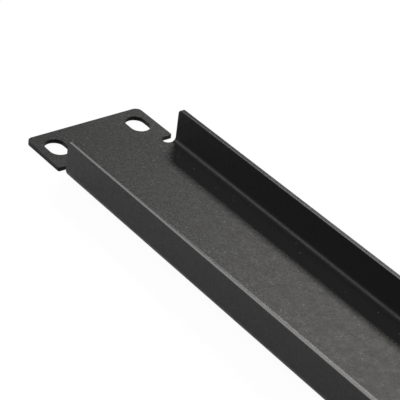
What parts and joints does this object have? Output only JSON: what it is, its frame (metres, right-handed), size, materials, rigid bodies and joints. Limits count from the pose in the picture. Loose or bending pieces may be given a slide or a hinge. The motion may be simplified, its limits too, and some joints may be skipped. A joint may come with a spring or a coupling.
{
  "type": "blanking panel",
  "caption": "19-inch rack blanking panel, 1U high: a black powder-coated steel sheet with slotted ears and a folded flange along each long side. It closes an unused rack space.",
  "frame": {"origin": "middle of the front face, which is the face that the panel lies on", "axes": "+X along the panel's length, +Y across its height, +Z out of its back, the way the flanges stand"},
  "size_m": [0.4826, 0.0444, 0.0135],
  "materials": {
    "powder_coat": "satin black powder coat with a fine grain, on folded steel sheet"
  },
  "bodies": {
    "root": {"blanking_panel": "powder_coat"}
  },
  "joints": []
}
